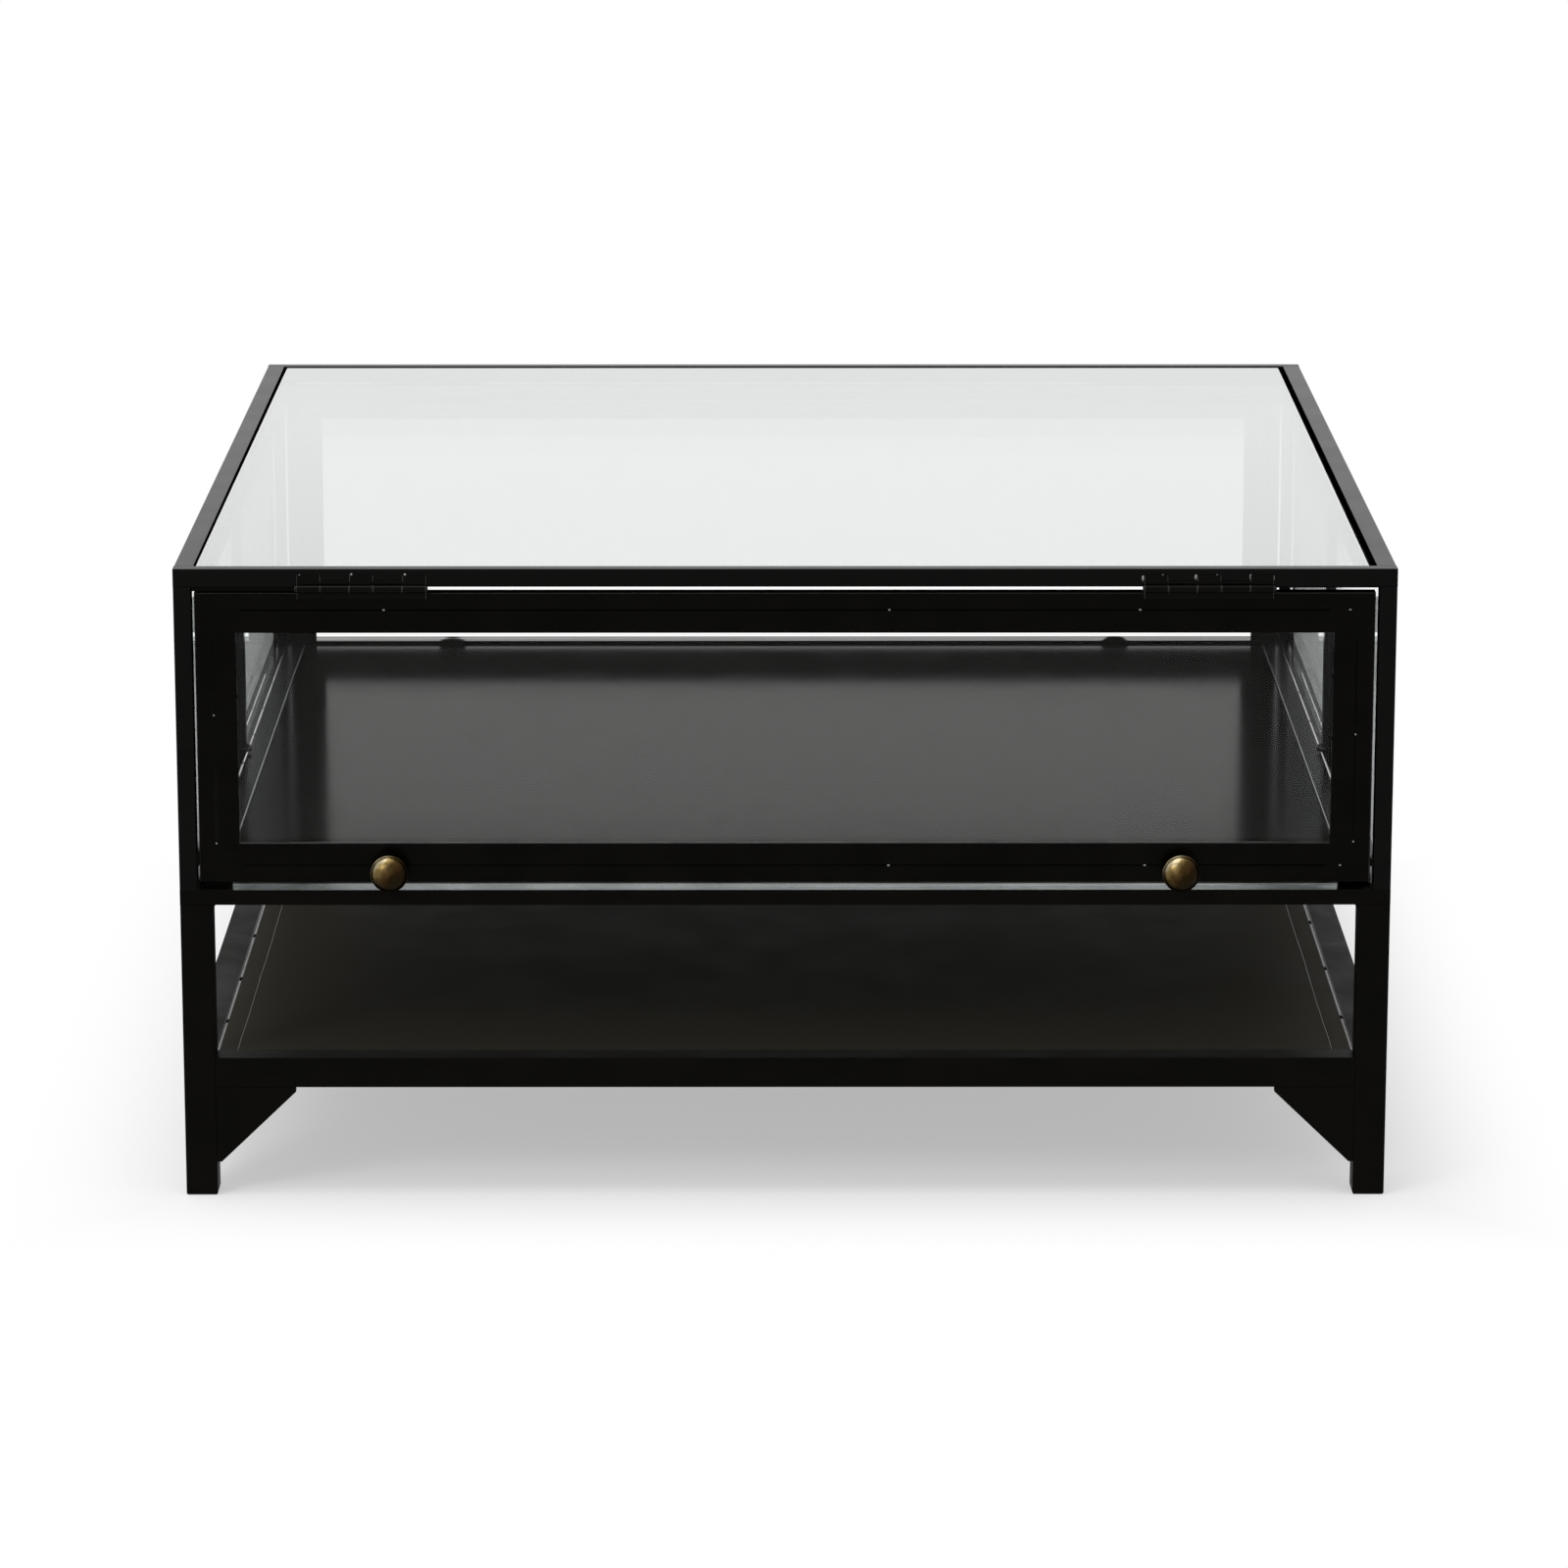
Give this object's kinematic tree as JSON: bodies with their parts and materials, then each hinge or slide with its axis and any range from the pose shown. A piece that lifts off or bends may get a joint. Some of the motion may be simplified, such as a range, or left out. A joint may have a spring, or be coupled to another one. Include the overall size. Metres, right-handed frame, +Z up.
{
  "type": "display coffee table",
  "caption": "Low square display table in black iron and clear glass, with top-hinged glass doors at front and back, a sheet deck and an open shelf below.",
  "frame": {"origin": "on the floor, under the middle of the table", "axes": "+X to the table's right as seen from the front, +Y from the front door to the back door, +Z up"},
  "size_m": [0.9144, 0.9584, 0.4878],
  "materials": {
    "black_lacquer": "satin black lacquer on iron",
    "sheet_lacquer": "glossy black lacquer on sheet iron",
    "clear_glass": "clear polished",
    "top_glass": "clear polished, tempered",
    "bead_rubber": "matt glazing bead",
    "antique_brass": "dark antique brass"
  },
  "bodies": {
    "frame": {"leg_front_left": "black_lacquer", "gusset_front_left": "black_lacquer", "gusset_left_front": "black_lacquer", "post_front_left": "black_lacquer", "side_glass_left_front": "clear_glass", "leg_front_right": "black_lacquer", "gusset_front_right": "black_lacquer", "gusset_right_front": "black_lacquer", "post_front_right": "black_lacquer", "side_glass_right_front": "clear_glass", "leg_back_left": "black_lacquer", "gusset_back_left": "black_lacquer", "gusset_left_back": "black_lacquer", "post_back_left": "black_lacquer", "side_glass_left_back": "clear_glass", "leg_back_right": "black_lacquer", "gusset_back_right": "black_lacquer", "gusset_right_back": "black_lacquer", "post_back_right": "black_lacquer", "side_glass_right_back": "clear_glass", "lower_rail_front": "black_lacquer", "lower_rail_back": "black_lacquer", "lower_rail_left": "black_lacquer", "lower_rail_right": "black_lacquer", "mid_rail_front": "black_lacquer", "mid_rail_back": "black_lacquer", "mid_rail_left": "black_lacquer", "mid_rail_right": "black_lacquer", "top_rail_front": "black_lacquer", "top_rail_back": "black_lacquer", "top_rail_left": "black_lacquer", "top_rail_right": "black_lacquer", "mullion_left": "black_lacquer", "mullion_right": "black_lacquer", "shelf_panel": "sheet_lacquer", "deck_panel": "sheet_lacquer", "top_glass_ledge": "black_lacquer", "top_glass": "top_glass", "fixed_leaf_front_left": "black_lacquer", "hinge_pin_front_left": "black_lacquer", "fixed_leaf_front_right": "black_lacquer", "hinge_pin_front_right": "black_lacquer", "fixed_leaf_back_left": "black_lacquer", "hinge_pin_back_left": "black_lacquer", "fixed_leaf_back_right": "black_lacquer", "hinge_pin_back_right": "black_lacquer"},
    "front_door": {"door_frame_front": "black_lacquer", "door_glass_front": "clear_glass", "door_bead_front": "bead_rubber", "knob_front_left": "antique_brass", "swing_leaf_front_left": "black_lacquer", "knob_front_right": "antique_brass", "swing_leaf_front_right": "black_lacquer"},
    "back_door": {"door_frame_back": "black_lacquer", "door_glass_back": "clear_glass", "door_bead_back": "bead_rubber", "knob_back_left": "antique_brass", "swing_leaf_back_left": "black_lacquer", "knob_back_right": "antique_brass", "swing_leaf_back_right": "black_lacquer"}
  },
  "joints": [
    {"name": "front_door_hinge", "type": "hinge", "parent": "frame", "child": "front_door", "pos_m": [0, -0.4604, 0.4733], "axis": [-1, 0, 0], "range_deg": [0, 180]},
    {"name": "back_door_hinge", "type": "hinge", "parent": "frame", "child": "back_door", "pos_m": [0, 0.4604, 0.4733], "axis": [1, 0, 0], "range_deg": [0, 180]}
  ]
}
